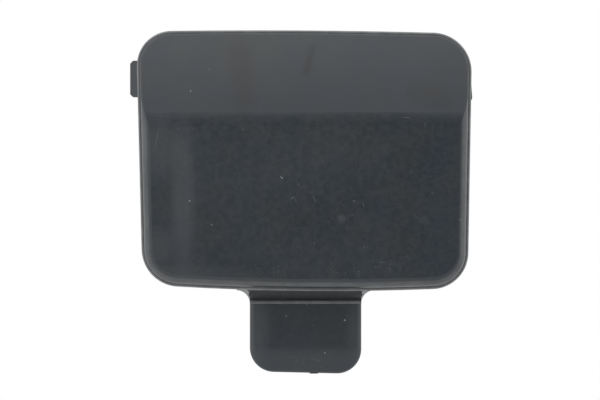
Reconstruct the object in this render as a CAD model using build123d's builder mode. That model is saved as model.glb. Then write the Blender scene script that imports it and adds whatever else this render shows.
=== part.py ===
# Tow hook cover: one plastic moulding that closes the towing-eye opening in a car bumper.
# Millimetres, +Z up, the visible face looks along -Y. The origin is the middle of the seat plane,
# where the back of the rim lies on the bumper, so depths in front of the seat run along -Y.
import os
from math import radians, sin, tan

from build123d import *

# Rim outline at the seat plane, seen from the front, with leans and tilts in degrees
rim_left = 39.7  # origin to the left edge, at the origin's height
rim_right = 39.65  # origin to the right edge, at the origin's height
rim_top = 31.2  # origin to the top of the bowed upper edge
rim_bottom = 31.3  # origin to the bottom of the bowed lower edge
left_lean = 1.45  # the left edge leans in towards the bottom
right_lean = 1.03  # the right edge leans in towards the bottom
top_tilt = 0.40  # the upper edge falls to the right
bottom_tilt = 0.56  # the lower edge falls to the right
top_bow = 0.53  # rise of the upper edge above its chord
bottom_bow = 1.2  # drop of the lower edge below its chord
top_left_radius = 8.3
top_right_radius = 9.4
bottom_left_radius = 9.1
bottom_right_radius = 8.8

# Rim, a thin ledge round the foot of the front walls
rim_thickness = 2.0
rim_step = 0.75  # how far the ledge stands out past the walls
rim_edge_radius = 0.5

# Front shell
face_depth = 9.5  # seat plane to the crease
wall = 2.4
wall_draft = 2.0  # the walls lean in towards the face
crown_radius = 900.0  # the face is rounded from left to right
crown_sweep = 40.0  # degrees of that rounding, well past the sides
crease_height = 9.8  # crease above the origin
top_depth = 2.9  # seat plane to the upper face, which leans back to this at the rim's top
upper_bow = 0.42  # rise of the upper face above the straight line from the crease to its top
crease_run = 1.6  # reach of the crease's rounding on each side of it
crease_flatness = 0.9  # rise of that rounding, as a share of an arc tangent to both faces
lower_edge_radius = 2.1  # outer edge of the lower face, at its sides and bottom
upper_edge_radius = 0.5  # outer edge of the upper face, and the line of the crease

# Skirt, the wall behind the rim that goes into the opening
skirt_depth = 6.0
skirt_inset = 1.0  # from the rim's edge to the outside of the skirt

# Stiffening ribs inside the face
rib_count = 2
rib_pitch = 26.0
rib_thickness = 1.2
rib_height = 1.8

# Side lugs, behind the bumper skin when the cover is in place
skin_gap = 3.0  # seat plane to the front of the lugs and of the tongue
lug_thickness = 2.4
lug_front_lean = 20.0  # past the rim, the front of each lug leans back
left_lug_lead_in = 1.3  # chamfer on the back of the lug's tip
left_lug_overhang = 1.9  # tip of the lug past the rim's edge
left_lug_drop = 7.1  # top of the rim down to the lug
left_lug_height = 8.8
left_lug_corner = 0.7
right_lug_top_inset = 0.25  # the outer edge slants from this far inside the rim's edge
right_lug_overhang = 0.53  # to this far past it
right_lug_drop = 7.7
right_lug_height = 9.2
right_lug_corner = 0.9

# Tongue, hooked behind the lower edge of the opening
tongue_left = 13.25
tongue_right = 13.65
tongue_length = 19.88  # from the rim's lower edge to the tip
tip_tilt = 1.4  # the tip falls to the right
tip_corner_radius = 5.9
lead_in_radius = 18.0  # the front of the tip curves back
lead_in_turn = 21.0
tongue_edge_radius = 1.2
gate_width = 2.0  # stub left at the tip where the moulding was cut from its runner
gate_height = 0.15
gate_thickness = 1.0
gate_right = 2.2  # origin to the middle of the stub

# Groove across the root of the tongue, which lets it bend
groove_height = 2.3
groove_depth = 0.8  # below the front of the tongue
groove_overhang = 0.25  # on each side, past the tongue
groove_corner_radius = 1.0

# Ridge along the lower side of the groove
ridge_height = 0.9
ridge_rise = 0.3  # in front of the tongue
ridge_edge_radius = 0.25

# Webs that round off the corners between the tongue and the skirt
web_radius = 3.2
web_draft = 10.0

# Overshoot of a shape that trims another, past what it trims
past = 15.0

# Sizes and places that follow from those above
crown_axis = Axis((0, crown_radius - face_depth, 0), (0, 0, 1))
wall_foot_inset = rim_step - rim_thickness * tan(radians(wall_draft))
hollow_inset = wall_foot_inset + wall
skirt_inside = -rim_bottom + hollow_inset
tongue_tip = -rim_bottom - tongue_length
groove_bottom = -rim_bottom - groove_height
ridge_bottom = groove_bottom - ridge_height
ridge_front = skin_gap - ridge_rise
groove_floor = skin_gap + groove_depth
tip_fall = tan(radians(tip_tilt))
lug_back = skin_gap + lug_thickness
lug_fall = tan(radians(lug_front_lean))


def side_reach(reach, lean, height):
    """Distance of a leaning side edge from the middle, at a height above the origin."""
    return reach + height * tan(radians(lean))


def rim_outline(inset):
    """Outline of the rim on the seat plane, drawn in by an inset."""
    top_chord = rim_top - top_bow
    bottom_chord = -rim_bottom + bottom_bow
    top_left_x = -side_reach(rim_left, left_lean, top_chord)
    top_right_x = side_reach(rim_right, right_lean, top_chord)
    bottom_left_x = -side_reach(rim_left, left_lean, bottom_chord)
    bottom_right_x = side_reach(rim_right, right_lean, bottom_chord)
    top_left = (top_left_x, top_chord - top_left_x * tan(radians(top_tilt)))
    top_right = (top_right_x, top_chord - top_right_x * tan(radians(top_tilt)))
    bottom_left = (bottom_left_x, bottom_chord - bottom_left_x * tan(radians(bottom_tilt)))
    bottom_right = (bottom_right_x, bottom_chord - bottom_right_x * tan(radians(bottom_tilt)))
    corner_radii = {
        top_left: top_left_radius,
        top_right: top_right_radius,
        bottom_left: bottom_left_radius,
        bottom_right: bottom_right_radius,
    }
    with BuildSketch(Plane.XZ) as outline:
        with BuildLine():
            Line(bottom_left, top_left)
            SagittaArc(top_left, top_right, top_bow)
            Line(top_right, bottom_right)
            SagittaArc(bottom_right, bottom_left, bottom_bow)
        make_face()
        for corner, radius in corner_radii.items():
            fillet(outline.vertices().sort_by_distance(corner)[0], radius)
        if inset > 0:
            offset(amount=-inset)
    return outline.sketch


def upper_section(set_back):
    """Side section of the upper face, from the crease to the rim's top, set back from it."""
    crease = (set_back - face_depth, crease_height)
    top = (set_back - top_depth, rim_top)
    return SagittaArc(crease, top, upper_bow, mode=Mode.PRIVATE)


def crowned(section, mode):
    """Turns a side section about the crown's axis, and joins it to the shell or trims with it."""
    first = section.rotate(crown_axis, -crown_sweep / 2)
    revolve(first, axis=crown_axis, revolution_arc=crown_sweep, mode=mode)


def behind_face(set_back):
    """Side section of what lies behind the creased face, set back from it by a distance."""
    front = set_back - face_depth
    back = skirt_depth + past
    bottom = -rim_bottom - past
    with BuildSketch(Plane.YZ) as section:
        with BuildLine():
            upper = upper_section(set_back)
            add(upper)
            over_top = upper @ 1 + upper % 1 * past
            Polyline(
                upper @ 1,
                over_top,
                (back, over_top.Y),
                (back, bottom),
                (front, bottom),
                (front, crease_height),
            )
        make_face()
    return section.sketch


def outside_crease():
    """Side section of the sharp corner that the rounding takes off along the crease."""
    crease = Vector(-face_depth, crease_height)
    low = crease - Vector(0, crease_run)
    high = upper_section(0).position_at(crease_run / upper_section(0).length)
    rise = crease_flatness / 2 * (crease - (low + high) / 2).length
    with BuildSketch(Plane.YZ) as section:
        with BuildLine():
            SagittaArc(low, high, rise)
            Polyline(high, (-face_depth - past, high.Y), (-face_depth - past, low.Y), low)
        make_face()
    return section.sketch


def lower_face_edges(shell):
    """Edges of the lower face, from the lowest one up to the crease."""
    return shell.faces().sort_by(Axis.Y)[0].edges().sort_by(Axis.Z)


# Stiffening ribs, plates trimmed to one height above the inside of the face
with BuildPart() as ribs:
    with BuildSketch(Plane.XZ):
        with GridLocations(rib_pitch, 0, rib_count, 1):
            Rectangle(rib_thickness, rim_top + rim_bottom)
    extrude(amount=face_depth)
    crowned(behind_face(wall + rib_height), Mode.SUBTRACT)

# Inside of the cap, open at the back
with BuildPart() as hollow:
    extrude(rim_outline(hollow_inset), amount=face_depth, taper=wall_draft)
    crowned(behind_face(wall), Mode.INTERSECT)
    extrude(rim_outline(hollow_inset), amount=-skirt_depth)
    add(ribs.part, mode=Mode.SUBTRACT)

# Rim with its rounded front edge
with BuildPart() as rim:
    extrude(rim_outline(0), amount=rim_thickness)
    fillet(rim.faces().sort_by(Axis.Y)[0].edges(), rim_edge_radius)

# Left lug, a square snap
with BuildPart() as left_lug:
    left_lug_middle = rim_top - left_lug_drop - left_lug_height / 2
    left_edge = -side_reach(rim_left, left_lean, left_lug_middle)
    left_tip = left_edge - left_lug_overhang
    left_root = left_edge + hollow_inset
    with BuildSketch(Plane.XZ) as left_lug_outline:
        with Locations((left_tip, left_lug_middle)):
            Rectangle(left_root - left_tip, left_lug_height, align=(Align.MIN, Align.CENTER))
        chamfer(left_lug_outline.vertices().group_by(Axis.X)[0], left_lug_corner)
    extrude(amount=-lug_back)
    with BuildSketch():
        with BuildLine():
            Polyline(
                (left_root, skin_gap),
                (left_edge, skin_gap),
                (left_tip, skin_gap + left_lug_overhang * lug_fall),
                (left_tip, lug_back - left_lug_lead_in),
                (left_tip + left_lug_lead_in, lug_back),
                (left_root, lug_back),
                close=True,
            )
        make_face()
    extrude(amount=rim_top, mode=Mode.INTERSECT)

# Right lug, a slanted snap
with BuildPart() as right_lug:
    right_lug_top = rim_top - right_lug_drop
    right_lug_bottom = right_lug_top - right_lug_height
    right_top_edge = side_reach(rim_right, right_lean, right_lug_top)
    right_edge = side_reach(rim_right, right_lean, right_lug_bottom)
    right_tip = right_edge + right_lug_overhang
    right_root = right_edge - hollow_inset
    with BuildSketch(Plane.XZ) as right_lug_outline:
        with BuildLine():
            Polyline(
                (right_root, right_lug_top),
                (right_top_edge - right_lug_top_inset, right_lug_top),
                (right_tip, right_lug_bottom),
                (right_root, right_lug_bottom),
                close=True,
            )
        make_face()
        fillet(right_lug_outline.vertices().sort_by(Axis.X)[-1], right_lug_corner)
    extrude(amount=-lug_back)
    with BuildSketch():
        with BuildLine():
            Polyline(
                (right_root, skin_gap),
                (right_edge, skin_gap),
                (right_tip, skin_gap + right_lug_overhang * lug_fall),
                (right_tip, lug_back),
                (right_root, lug_back),
                close=True,
            )
        make_face()
    extrude(amount=rim_top, mode=Mode.INTERSECT)

# Webs beside the tongue's root, drafted so that they widen towards the back
with BuildPart() as webs:
    with BuildSketch(Plane.XZ.offset(-skirt_depth)):
        with BuildLine():
            left_round = JernArc((-tongue_left - web_radius, -rim_bottom), (1, 0), web_radius, -90)
            right_round = JernArc((tongue_right, -rim_bottom - web_radius), (0, 1), web_radius, -90)
            Line(left_round @ 1, right_round @ 0)
            Polyline(
                right_round @ 1,
                (tongue_right + web_radius, skirt_inside),
                (-tongue_left - web_radius, skirt_inside),
                left_round @ 0,
            )
        make_face()
    extrude(amount=skirt_depth, taper=web_draft)

# Tongue with its curved tip
with BuildPart() as tongue:
    with BuildSketch(Plane.XZ) as tongue_outline:
        with BuildLine():
            Polyline(
                (-tongue_left, skirt_inside),
                (-tongue_left, tongue_tip + tongue_left * tip_fall),
                (tongue_right, tongue_tip - tongue_right * tip_fall),
                (tongue_right, skirt_inside),
                close=True,
            )
        make_face()
        fillet(tongue_outline.vertices().sort_by(Axis.Y)[:2], tip_corner_radius)
    extrude(amount=-skirt_depth)
    with BuildSketch(Plane.YZ):
        with BuildLine():
            lead_in_start = tongue_tip + lead_in_radius * sin(radians(lead_in_turn))
            lead_in = JernArc((skin_gap, lead_in_start), (0, -1), lead_in_radius, lead_in_turn)
            tip_rise = (tongue_left + tongue_right) * tip_fall
            tip_run = Line(lead_in @ 1, lead_in @ 1 + lead_in % 1 * tip_rise)
            Polyline(
                tip_run @ 1,
                (skirt_depth, (tip_run @ 1).Y),
                (skirt_depth, skirt_inside),
                (groove_floor, skirt_inside),
                (groove_floor, groove_bottom),
                (ridge_front, groove_bottom),
                (ridge_front, ridge_bottom),
                (skin_gap, ridge_bottom),
                lead_in @ 0,
            )
        make_face()
    extrude(amount=tongue_left + tongue_right, both=True, mode=Mode.INTERSECT)
    tongue_front = tongue.faces().filter_by(Axis.Y).sort_by(Axis.Y)[1]
    fillet(tongue_front.edges().filter_by(Axis.Z), tongue_edge_radius)
    ridge_top = tongue.faces().filter_by(Axis.Y).sort_by(Axis.Y)[0]
    fillet(ridge_top.edges().filter_by(Axis.X), ridge_edge_radius)
    gate_middle = ((lead_in @ 1).X + skirt_depth) / 2
    with BuildSketch(Plane.XZ.offset(-gate_middle)):
        with Locations((gate_right, tongue_tip - gate_right * tip_fall)):
            Rectangle(gate_width, 2 * gate_height)
    extrude(amount=gate_thickness / 2, both=True)

with BuildPart() as cover:
    extrude(rim_outline(wall_foot_inset), amount=face_depth + past, taper=wall_draft)
    crowned(behind_face(0), Mode.INTERSECT)
    fillet(lower_face_edges(cover)[:-1], lower_edge_radius)
    fillet(lower_face_edges(cover)[-1], upper_edge_radius)
    crowned(outside_crease(), Mode.SUBTRACT)
    add(rim.part)
    extrude(rim_outline(skirt_inset), amount=-skirt_depth)
    add([left_lug.part, right_lug.part, webs.part, tongue.part])
    with BuildSketch(Plane.XZ) as groove:
        with BuildLine():
            groove_left = -tongue_left - groove_overhang
            groove_right = tongue_right + groove_overhang
            Polyline(
                (groove_left, groove_bottom),
                (groove_left, -rim_bottom),
                (groove_right, -rim_bottom),
                (groove_right, groove_bottom),
                close=True,
            )
        make_face()
        fillet(groove.vertices().group_by(Axis.Y)[-1], groove_corner_radius)
    extrude(amount=-groove_floor, mode=Mode.SUBTRACT)
    add(hollow.part, mode=Mode.SUBTRACT)

os.makedirs("parts", exist_ok=True)
cover.part.label = "cover"
export_step(cover.part, "parts/cover.step")
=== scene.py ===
"""Looks of the tow hook cover: worn black plastic in front of plain white, in soft studio light, with
painted highlights along its rim, edges and ridge and painted light in its groove and on its lugs.

Metres, +Z up, the visible face looks along -Y. Marks on the surface are placed in millimetres.
"""

import math
from types import SimpleNamespace

import bpy
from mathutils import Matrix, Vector


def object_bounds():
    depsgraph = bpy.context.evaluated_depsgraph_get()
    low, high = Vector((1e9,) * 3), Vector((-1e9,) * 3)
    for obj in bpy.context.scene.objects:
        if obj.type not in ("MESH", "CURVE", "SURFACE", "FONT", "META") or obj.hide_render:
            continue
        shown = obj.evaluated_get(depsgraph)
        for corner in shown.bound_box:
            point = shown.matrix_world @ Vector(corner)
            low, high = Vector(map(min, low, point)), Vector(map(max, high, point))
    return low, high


MM = 0.001
WHITE = (1, 1, 1, 1)

# Camera: straight in front of the face, far away, framed as the photograph is
VIEW_CENTRE = (-1.14 * MM, -9.48 * MM)  # x and z in the middle of the picture
VIEW_WIDTH = 144 * MM  # what the picture spans at the rim
RIM_Y = -1 * MM
CAMERA_DISTANCE = 1.0
SENSOR_WIDTH = 36.0

# Studio
FLOOR_DROP = 0.11  # floor below the tip of the tongue
FLOOR_SIZE = 8.0
FLOOR_COLOUR = (0.80, 0.80, 0.80, 1)
SHADOW_REACH = (0.25, 0.6)  # from the object, where the floor turns from lit to plain white
WORLD_STRENGTH = 0.95
SOFTBOX_SIZE = 1.4
SOFTBOX_PLACE = (-0.3, -0.9, 1.5)
SOFTBOX_POWER = 3.4
FLAG_SIZE = (1.2, 0.90)  # dark card behind the camera, which the flat faces mirror
FLAG_PLACE = (0.22, -1.4, 0.05)
FLAG_COLOUR = (0.02, 0.02, 0.02, 1)

# Colours of the plastic: clean in two shades, darker with grease, paler where hazy, paler with painted
# light and painted highlights (partly rubbing wear), and paler with scuffs
COLOUR_COOL = (0.0138, 0.0218, 0.0312, 1)
COLOUR_GREY = (0.0176, 0.0239, 0.0284, 1)
GREASE_COLOUR = (0.004, 0.006, 0.008, 1)
HAZE_AND_PAINTED_LIGHT_COLOUR = (0.083, 0.092, 0.101, 1)
PAINTED_LIGHT_AND_WEAR_COLOUR = (0.250, 0.255, 0.260, 1)
SCUFF_COLOUR = (0.34, 0.35, 0.36, 1)

# Gloss, and how much rougher the surface is where it is hazy, painted with light or highlights, worn by
# rubbing, or scuffed
REFRACTION = 1.62
ROUGHNESS = 0.33
HAZE_AND_PAINTED_LIGHT_ROUGHNESS = 0.2
PAINTED_LIGHT_AND_WEAR_ROUGHNESS = 0.1
SCUFF_ROUGHNESS = 0.4

# Relief
BUMP_DISTANCE = 0.02 * MM
GRAIN = (0.22, 1.0)  # size of the lumps in mm, and detail
GRAIN_STRENGTH = 0.12
WAVES = (6.0, 1.0)  # size in mm, and detail
WAVES_STRENGTH = 0.5

# Cloudy masks: size of the lumps in mm, detail, the noise where the mask starts and where it is full,
# and its lowest and highest value if they aren't 0 and 1
SHADES = (9.0, 1.0, 0.35, 0.65)
CLOUDS = (14.0, 3.0, 0.30, 0.75, 0.0, 0.07)
MOTTLE = (1.1, 2.0, 0.35, 0.80, 0.0, 0.05)
UNEVEN_GLOSS = (1.1, 2.0, 0.20, 0.80, ROUGHNESS - 0.03, ROUGHNESS + 0.05)
CRUMBS = (0.5, 2.0, 0.57, 0.70)
CRUMB_GROUPS = (1.9, 1.0, 0.42, 0.60)
# Patchiness of the painted highlights and the rubbing wear on the rim, the face's edges and the ridge
HIGHLIGHT_AND_WEAR_PATCHES = (3.0, 3.0, 0.35, 0.65, 0.7, 1.0)
WORN_AREAS = (22.0, 1.0, 0.40, 0.62, 0.25, 1.0)

# Which way a surface faces, as the y of its normal: where a mask starts, and where it is full
FRONT_FACING = (-0.4, -0.8)
RIM_FACING = (-0.05, -0.35)
EDGE_FACING = ((-0.97, -0.86), (-0.25, -0.6))  # a rounded edge: past the face, short of the wall
STRAY_NORMAL = (0.99, 0.96)  # agreement of the smooth normal with the face's own

# Where the moulding collects dust and wear, and where highlights and light are painted on it, in mm
# The rim's front is painted paler: a painted highlight, which also lightens the shade on its ledge
SOFT_RIM = 0.15
RIM = (-2.0, 0.0)  # y of the rim's front and back
EDGE_DEPTH = (-2.0, -2.6)  # y, where the painted highlight and the wear of the face's rounded edge start and are full
EDGE_HIGHLIGHT_AND_WEAR = (16.0, 8.0, 0.10, 0.26)  # painted highlight along the face's rounded edges, partly rubbing wear: z above and below the crease, and how strong there
SHARP_RADIUS = 0.4 * MM
SHARP_SAMPLES = 4
SHARP_WEAR = (0.98, 0.80, 0.0, 0.09)  # agreement with the rounded normal, and how strong
RIDGE = (-34.5, -33.6)  # z of the ridge's sides
SOFT_RIDGE = 0.1
RIDGE_TOP = (2.6, 2.98)  # y
SOFT_RIDGE_TOP = 0.02
# Painted highlight on the ridge's top
RIDGE_HIGHLIGHT = 0.6
GROOVE = (-33.6, -31.2)  # z of the groove's sides
SOFT_GROOVE = 0.15
GROOVE_DEPTH = (2.5, 3.0)  # y
# Painted light: the shaded groove is made paler by the next two; its dust is specks
GROOVE_PAINTED_LIGHT_PALE = 0.14
GROOVE_PAINTED_LIGHT_HAZY = 0.9
GROOVE_DUST = 0.35
LUG_START = (40.1, 40.4)  # from the middle
LUG_DEPTH = (2.0, 2.6)  # y
# Painted light: the lugs are made paler
LUG_PAINTED_LIGHT = 0.5

# Soft hazy patches on the face, two of them painted highlights along the tongue's sides: x, z, half width,
# half height in mm, and how strong
HAZY_AND_HIGHLIGHT_PATCHES = (
    (-29.0, -9.0, 3.2, 22.0, 0.26),
    (-35.0, 3.5, 6.0, 9.5, 0.20),
    (-34.5, -20.5, 4.0, 5.5, 0.15),
    (-10.0, 0.0, 32.0, 14.0, 0.07),
    (8.7, -13.9, 1.3, 1.3, 0.25),
    (28.5, -14.2, 1.5, 1.3, 0.14),
    # Painted highlights along the tongue's left and right sides
    (-12.7, -40.0, 4.8, 12.0, 0.34),
    (13.1, -40.0, 3.4, 12.0, 0.22),
    (-27.0, -27.6, 16.0, 3.0, 0.16),
)
PATCH_RIM = (1.2, 0.3)  # of the half sizes, where a patch starts and where it is full

# Greasy streaks, which are darker: x and z of both ends, width in mm, and how strong
STREAKS = (
    (-15.6, 26.0, -14.2, 13.6, 4.0, 0.5),
    (1.9, 27.0, 0.3, 20.8, 1.3, 0.9),
    (27.0, 16.0, 33.0, 14.5, 4.0, 0.4),
)
FULL_WIDTH = 0.2  # of a stroke's or scratch's width, where it is full

# Patches of fine scuffs: x, z, half width, half height in mm, and how strong
SCUFFED = (
    (-26.6, 7.9, 2.8, 0.9, 0.35),
    (28.6, 8.4, 1.0, 0.9, 0.35),
    (30.0, 7.0, 0.9, 0.9, 0.40),
    (2.7, 5.0, 1.2, 1.0, 0.40),
    (14.1, -21.2, 2.4, 0.7, 0.40),
    (2.2, -19.9, 0.8, 0.8, 0.30),
    (19.0, -25.5, 7.0, 2.4, 0.20),
    (9.0, -27.0, 6.0, 1.8, 0.18),
    (-9.0, -26.5, 8.0, 2.4, 0.18),
    (1.0, -48.5, 8.0, 2.4, 0.20),
    (-11.0, -48.5, 2.5, 1.6, 0.25),
)

# Single scuffs on the face: x and z of both ends, width in mm, and how strong
SCUFFS = (
    (-27.3, 16.6, -27.2, 16.5, 0.18, 1.00),
    (-27.5, -9.7, -27.4, -9.7, 0.24, 0.70),
    (-5.7, -4.0, -5.3, -4.3, 0.18, 0.65),
    (9.6, -38.4, 9.7, -38.5, 0.22, 1.00),
    (4.8, -46.3, 4.9, -46.3, 0.22, 0.75),
    (-4.5, -37.4, -4.4, -37.4, 0.20, 0.40),
    (0.3, -34.4, 0.5, -34.6, 0.18, 0.55),
    (-22.9, 21.8, -22.8, 21.7, 0.16, 0.30),
    (-34.9, 7.2, -35.6, 3.4, 0.10, 0.16),
    (23.6, 10.2, 24.8, 10.1, 0.14, 0.20),
    (2.0, -8.6, 2.6, -10.0, 0.10, 0.22),
    (11.6, -9.7, 11.8, -9.7, 0.16, 0.40),
    (13.9, -10.3, 14.0, -11.0, 0.12, 0.22),
    (-22.3, -15.3, -22.0, -15.5, 0.16, 0.35),
    (-3.1, -9.2, -2.9, -8.8, 0.14, 0.28),
    (37.0, -14.0, 37.0, -14.3, 0.14, 0.50),
)

# Random marks, at most one in each cell. Scratches: cell, half length and half width in mm, share of the
# cells, and how strong. Specks: cell and radius in mm, share of the cells, and how strong.
SCRATCHES = (
    (4.2, 1.2, 0.09, 0.35, 0.14),
    (9.0, 3.5, 0.07, 0.30, 0.10),
)
SPECKS = (2.6, 0.15, 0.35, 0.30)
BELOW_CREASE = (11.0, 8.0)  # z in mm, where random marks start to be as strong as given, and are
UPPER_MARKS = 0.12  # how strong they are above the crease


class Tree:
    """A node tree written as calls: each call adds a node and returns one of its outputs."""

    def __init__(self, tree):
        self.tree = tree
        tree.nodes.clear()

    def add(self, kind, inputs=None, output=0, **settings):
        """Adds a node, sets its properties, and fills its sockets with values or with other outputs."""
        node = self.tree.nodes.new(kind)
        for name, value in settings.items():
            setattr(node, name, value)
        for socket, value in (inputs or {}).items():
            if isinstance(value, bpy.types.NodeSocket):
                self.tree.links.new(value, node.inputs[socket])
            else:
                node.inputs[socket].default_value = value
        return node.outputs[output] if node.outputs else None

    def math(self, operation, *values):
        return self.add("ShaderNodeMath", dict(enumerate(values)), operation=operation)

    def vector(self, operation, *values, output="Vector"):
        return self.add("ShaderNodeVectorMath", dict(enumerate(values)), output, operation=operation)

    def scaled(self, vector, factor):
        return self.add("ShaderNodeVectorMath", {0: vector, "Scale": factor}, operation="SCALE")

    def agreement(self, first, second):
        """Cosine of the angle between two directions."""
        return self.vector("DOT_PRODUCT", first, second, output="Value")

    def parts(self, vector):
        return self.add("ShaderNodeSeparateXYZ", {0: vector}).node.outputs

    def fade(self, value, start, end, low=0.0, high=1.0):
        """Smooth step of a value: low at start, high at end."""
        sockets = {"Value": value, "From Min": start, "From Max": end, "To Min": low, "To Max": high}
        return self.add("ShaderNodeMapRange", sockets, interpolation_type="SMOOTHSTEP")

    def mix(self, factor, first, second):
        """Mix of two colours."""
        return self.add("ShaderNodeMix", {0: factor, 6: first, 7: second}, 2, data_type="RGBA")

    def mix_vectors(self, factor, first, second):
        return self.add("ShaderNodeMix", {0: factor, 4: first, 5: second}, 1, data_type="VECTOR")

    def noise(self, place, size, detail):
        """Cloudy noise whose lumps are about as large as size."""
        return self.add("ShaderNodeTexNoise", {"Vector": place, "Scale": 1 / size, "Detail": detail})

    def cloudy(self, place, size, detail, *limits):
        """Cloudy mask: noise, and the limits of a fade."""
        return self.fade(self.noise(place, size, detail), *limits)

    def largest(self, values):
        found = values[0]
        for value in values[1:]:
            found = self.math("MAXIMUM", found, value)
        return found

    def product(self, *values):
        found = values[0]
        for value in values[1:]:
            found = self.math("MULTIPLY", found, value)
        return found

    def total(self, values):
        found = values[0]
        for value in values[1:]:
            found = self.math("ADD", found, value)
        return found

    def seen_directly(self):
        """1 on rays that show the background: from the camera, in a mirror, or through glass."""
        path = self.add("ShaderNodeLightPath").node.outputs
        rays = ("Is Camera Ray", "Is Glossy Ray", "Is Transmission Ray")
        return self.largest([path[ray] for ray in rays])


def new_material(name):
    """A material, and its empty node tree."""
    material = bpy.data.materials.new(name)
    material.use_nodes = True
    return material, Tree(material.node_tree)


def place_plane(name, width, depth, location, rotation, material):
    """A flat rectangle of the studio, which isn't part of the object."""
    mesh = bpy.data.meshes.new(name)
    x, y = width / 2, depth / 2
    mesh.from_pydata([(-x, -y, 0), (x, -y, 0), (x, y, 0), (-x, y, 0)], [], [(0, 1, 2, 3)])
    mesh.materials.append(material)
    obj = bpy.data.objects.new(name, mesh)
    obj.location = location
    obj.rotation_euler = rotation
    bpy.context.scene.collection.objects.link(obj)
    return obj


def add_camera():
    """Camera at the photograph's angle."""
    data = bpy.data.cameras.new("camera")
    data.sensor_width = SENSOR_WIDTH
    data.lens = SENSOR_WIDTH * CAMERA_DISTANCE / VIEW_WIDTH
    camera = bpy.data.objects.new("camera", data)
    camera.location = (VIEW_CENTRE[0], RIM_Y - CAMERA_DISTANCE, VIEW_CENTRE[1])
    camera.rotation_euler = (math.pi / 2, 0, 0)
    bpy.context.scene.collection.objects.link(camera)
    bpy.context.scene.camera = camera


def add_world():
    """White surroundings."""
    world = bpy.data.worlds.new("world")
    world.use_nodes = True
    bpy.context.scene.world = world
    t = Tree(world.node_tree)
    strength = t.fade(t.seen_directly(), 0, 1, WORLD_STRENGTH, 1.0)
    light = t.add("ShaderNodeBackground", {"Color": WHITE, "Strength": strength})
    t.add("ShaderNodeOutputWorld", {"Surface": light})


def add_floor(lowest):
    """Pale floor that keeps the object's shadow, and is plain white further away."""
    material, t = new_material("floor")
    place = t.add("ShaderNodeTexCoord", output="Object")
    far = t.fade(t.vector("LENGTH", place, output="Value"), *SHADOW_REACH)
    matt = t.add("ShaderNodeBsdfDiffuse", {"Color": FLOOR_COLOUR})
    plain = t.add("ShaderNodeEmission", {"Color": WHITE, "Strength": 1.0})
    mixed = t.add("ShaderNodeMixShader", {0: t.product(far, t.seen_directly()), 1: matt, 2: plain})
    t.add("ShaderNodeOutputMaterial", {"Surface": mixed})
    place_plane("floor", FLOOR_SIZE, FLOOR_SIZE, (0, 0, lowest - FLOOR_DROP), (0, 0, 0), material)


def add_softbox():
    """Large lamp above and in front."""
    data = bpy.data.lights.new("softbox", "AREA")
    data.size = SOFTBOX_SIZE
    data.energy = SOFTBOX_POWER
    lamp = bpy.data.objects.new("softbox", data)
    lamp.location = SOFTBOX_PLACE
    lamp.rotation_euler = Vector(SOFTBOX_PLACE).to_track_quat("Z", "Y").to_euler()
    lamp.visible_camera = False
    bpy.context.scene.collection.objects.link(lamp)


def add_flag():
    """Dark card behind the camera and out of its sight, as used for glossy black products."""
    material, t = new_material("flag")
    matt = t.add("ShaderNodeBsdfDiffuse", {"Color": FLAG_COLOUR})
    t.add("ShaderNodeOutputMaterial", {"Surface": matt})
    flag = place_plane("flag", *FLAG_SIZE, FLAG_PLACE, (math.pi / 2, 0, 0), material)
    flag.visible_camera = False


def patch(t, flat, x, z, half_width, half_height, strength):
    """Soft oval patch."""
    offset = t.vector("SUBTRACT", flat, (x, z, 0))
    ratio = t.vector("DIVIDE", offset, (half_width, half_height, 1))
    return t.fade(t.vector("LENGTH", ratio, output="Value"), *PATCH_RIM, 0.0, strength)


def stroke(t, flat, x0, z0, x1, z1, width, strength):
    """Soft-edged stroke from one point to another."""
    run = Vector((x1 - x0, z1 - z0, 0))
    offset = t.vector("SUBTRACT", flat, (x0, z0, 0))
    along = t.vector("DOT_PRODUCT", offset, tuple(run / run.length_squared), output="Value")
    share = t.math("MINIMUM", t.math("MAXIMUM", along, 0.0), 1.0)
    away = t.vector("DISTANCE", offset, t.scaled(tuple(run), share), output="Value")
    return t.fade(away, width, FULL_WIDTH * width, 0.0, strength)


def cells(t, flat, size):
    """Random cells: the place relative to the cell's own point, and three random numbers."""
    sockets = {"Vector": flat, "Scale": 1 / size}
    voronoi = t.add("ShaderNodeTexVoronoi", sockets, voronoi_dimensions="2D").node.outputs
    return t.vector("SUBTRACT", flat, voronoi["Position"]), t.parts(voronoi["Color"])


def scratches(t, flat, size, length, width, share, strength):
    """Random fine scratches, at most one in each cell."""
    offset, luck = cells(t, flat, size)
    turn = {"Vector": offset, "Angle": t.math("MULTIPLY", luck[0], 2 * math.pi)}
    turned = t.parts(t.add("ShaderNodeVectorRotate", turn, rotation_type="Z_AXIS"))
    across = t.fade(t.math("ABSOLUTE", turned[0]), width, FULL_WIDTH * width)
    along = t.math("LESS_THAN", t.math("ABSOLUTE", turned[1]), t.math("MULTIPLY", luck[1], length))
    return t.product(across, along, t.fade(luck[2], 1 - share, 1.0, 0.0, strength))


def specks(t, flat, size, radius, share, strength):
    """Random specks of dust, at most one in each cell."""
    offset, luck = cells(t, flat, size)
    away = t.vector("LENGTH", offset, output="Value")
    inside = t.math("LESS_THAN", away, t.math("MULTIPLY", luck[1], radius))
    return t.product(inside, t.fade(luck[2], 1 - share, 1.0, 0.0, strength))


def band(t, value, low, high, soft):
    """1 between two limits, with soft ends."""
    return t.product(t.fade(value, low - soft, low + soft), t.fade(value, high + soft, high - soft))


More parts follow.
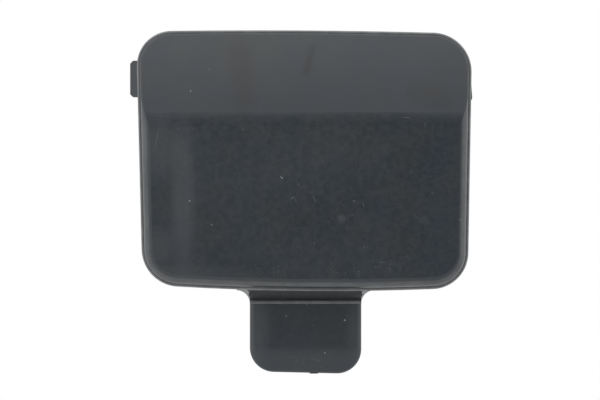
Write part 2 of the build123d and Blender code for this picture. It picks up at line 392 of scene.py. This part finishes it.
def read_surface(t):
    """What the masks are made from: the place in mm, the normal, and the masks that several share."""
    place = t.scaled(t.add("ShaderNodeTexCoord", output="Object"), 1 / MM)
    x, y, z = t.parts(place)
    flat = t.add("ShaderNodeCombineXYZ", {0: x, 1: z})

    # Where a mesh corner's smooth normal strays far from the face, the face's own normal stands in
    geometry = t.add("ShaderNodeNewGeometry").node.outputs
    smooth, own = geometry["Normal"], geometry["True Normal"]
    normal = t.mix_vectors(t.fade(t.agreement(smooth, own), *STRAY_NORMAL), smooth, own)
    facing = t.parts(normal)[1]

    front = t.fade(facing, *FRONT_FACING)
    groove = t.product(band(t, z, *GROOVE, SOFT_GROOVE), t.fade(y, *GROOVE_DEPTH), front)
    return SimpleNamespace(
        place=place, flat=flat, x=x, y=y, z=z, normal=normal, facing=facing, front=front, groove=groove
    )


def painted_light_and_wear_mask(t, s):
    """Painted highlight on the rim's front, on the ridge, and on the face's rounded edges (partly rubbing
    wear there), wear on every sharp edge, and painted light in the shaded groove.
    """
    patchy = t.cloudy(s.place, *HIGHLIGHT_AND_WEAR_PATCHES)
    # painted highlight on the rim's front, lightening the shade on its ledge as well
    rim = t.product(band(t, s.y, *RIM, SOFT_RIM), t.fade(s.facing, *RIM_FACING), patchy)
    # painted highlight along the face's rounded edges, partly rubbing wear
    edge = t.product(*[t.fade(s.facing, *limits) for limits in EDGE_FACING])
    edge = t.product(edge, t.fade(s.y, *EDGE_DEPTH), patchy, t.fade(s.z, *EDGE_HIGHLIGHT_AND_WEAR))
    bevel = t.add("ShaderNodeBevel", {"Radius": SHARP_RADIUS}, samples=SHARP_SAMPLES)
    sharp = t.fade(t.agreement(bevel, s.normal), *SHARP_WEAR)
    # painted highlight on the ridge's top
    ridge = t.product(band(t, s.z, *RIDGE, SOFT_RIDGE), band(t, s.y, *RIDGE_TOP, SOFT_RIDGE_TOP))
    ridge = t.product(ridge, patchy, RIDGE_HIGHLIGHT)
    # painted light in the shaded groove joins them
    return t.largest([rim, edge, sharp, ridge, t.product(s.groove, GROOVE_PAINTED_LIGHT_PALE)])


def haze_and_painted_light_mask(t, s):
    """Hazy patches on the face, two of them painted highlights along the tongue's sides, a faint mottling
    all over, and painted light that makes the groove and the lugs paler.
    """
    patches = t.product(t.total([patch(t, s.flat, *row) for row in HAZY_AND_HIGHLIGHT_PATCHES]), s.front)
    mottle = t.math("ADD", t.cloudy(s.place, *CLOUDS), t.cloudy(s.place, *MOTTLE))
    lugs = t.product(t.fade(t.math("ABSOLUTE", s.x), *LUG_START), t.fade(s.y, *LUG_DEPTH))
    # the groove and the lugs are made paler: painted light
    return t.total([patches, mottle, t.product(s.groove, GROOVE_PAINTED_LIGHT_HAZY), t.product(lugs, LUG_PAINTED_LIGHT)])


def scuff_mask(t, s):
    """Scuffs: random ones, fine ones in patches, dust in the groove, and single ones."""
    crumbs = t.product(t.cloudy(s.flat, *CRUMBS), t.cloudy(s.flat, *CRUMB_GROUPS))
    marks = [scratches(t, s.flat, *row) for row in SCRATCHES] + [specks(t, s.flat, *SPECKS)]
    by_height = t.fade(t.fade(s.z, *BELOW_CREASE), 0, 1, UPPER_MARKS, 1.0)
    marks = t.product(t.largest(marks), t.cloudy(s.flat, *WORN_AREAS), by_height)
    fine = t.product(t.largest([patch(t, s.flat, *row) for row in SCUFFED]), crumbs)
    dust = t.product(s.groove, crumbs, GROOVE_DUST)
    singles = [stroke(t, s.flat, *row) for row in SCUFFS]
    return t.product(t.largest([marks, fine, dust] + singles), s.front)


def relief(t, s):
    """Fine grain on slightly wavy faces."""
    grain = {"Strength": GRAIN_STRENGTH, "Height": t.noise(s.place, *GRAIN), "Normal": s.normal}
    bump = t.add("ShaderNodeBump", {"Distance": BUMP_DISTANCE, **grain})
    waves = {"Strength": WAVES_STRENGTH, "Height": t.noise(s.place, *WAVES), "Normal": bump}
    return t.add("ShaderNodeBump", {"Distance": BUMP_DISTANCE, **waves})


def black_plastic():
    """Moulded black plastic, hazy, scratched and dusty on the face, with painted highlights along its rim,
    edges and ridge (partly rubbing wear on the edges), and painted light in its groove and on its lugs.
    """
    material, t = new_material("black_plastic")
    s = read_surface(t)
    grease = t.product(t.total([stroke(t, s.flat, *row) for row in STREAKS]), s.front)
    haze_and_painted_light, painted_light_and_wear, scuff = haze_and_painted_light_mask(t, s), painted_light_and_wear_mask(t, s), scuff_mask(t, s)

    colour = t.mix(t.cloudy(s.place, *SHADES), COLOUR_COOL, COLOUR_GREY)
    colour = t.mix(grease, colour, GREASE_COLOUR)
    # Paler where hazy, with painted highlights on the tongue's sides and painted light in the groove and
    # on the lugs
    colour = t.mix(haze_and_painted_light, colour, HAZE_AND_PAINTED_LIGHT_COLOUR)
    # Painted highlights on the rim, the face's edges (partly rubbing wear) and the ridge, wear on sharp
    # edges, and painted light in the groove
    colour = t.mix(painted_light_and_wear, colour, PAINTED_LIGHT_AND_WEAR_COLOUR)
    colour = t.mix(scuff, colour, SCUFF_COLOUR)

    rough = t.total([
        t.cloudy(s.place, *UNEVEN_GLOSS),
        t.product(haze_and_painted_light, HAZE_AND_PAINTED_LIGHT_ROUGHNESS),
        t.product(painted_light_and_wear, PAINTED_LIGHT_AND_WEAR_ROUGHNESS),
        t.product(scuff, SCUFF_ROUGHNESS),
    ])
    sockets = {"Base Color": colour, "Roughness": rough, "IOR": REFRACTION, "Normal": relief(t, s)}
    t.add("ShaderNodeOutputMaterial", {"Surface": t.add("ShaderNodeBsdfPrincipled", sockets)})
    return material


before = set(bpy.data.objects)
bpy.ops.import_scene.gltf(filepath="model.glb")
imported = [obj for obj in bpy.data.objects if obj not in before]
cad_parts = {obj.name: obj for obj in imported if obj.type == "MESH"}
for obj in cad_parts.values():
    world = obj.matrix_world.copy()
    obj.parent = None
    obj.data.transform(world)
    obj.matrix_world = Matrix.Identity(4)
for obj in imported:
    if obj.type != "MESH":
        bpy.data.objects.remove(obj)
cad_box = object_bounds()
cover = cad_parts["cover"]
cover.data.materials.clear()
cover.data.materials.append(black_plastic())

add_camera()
add_world()
add_floor(cad_box[0].z)
add_softbox()
add_flag()
bpy.context.scene.view_settings.view_transform = "Standard"
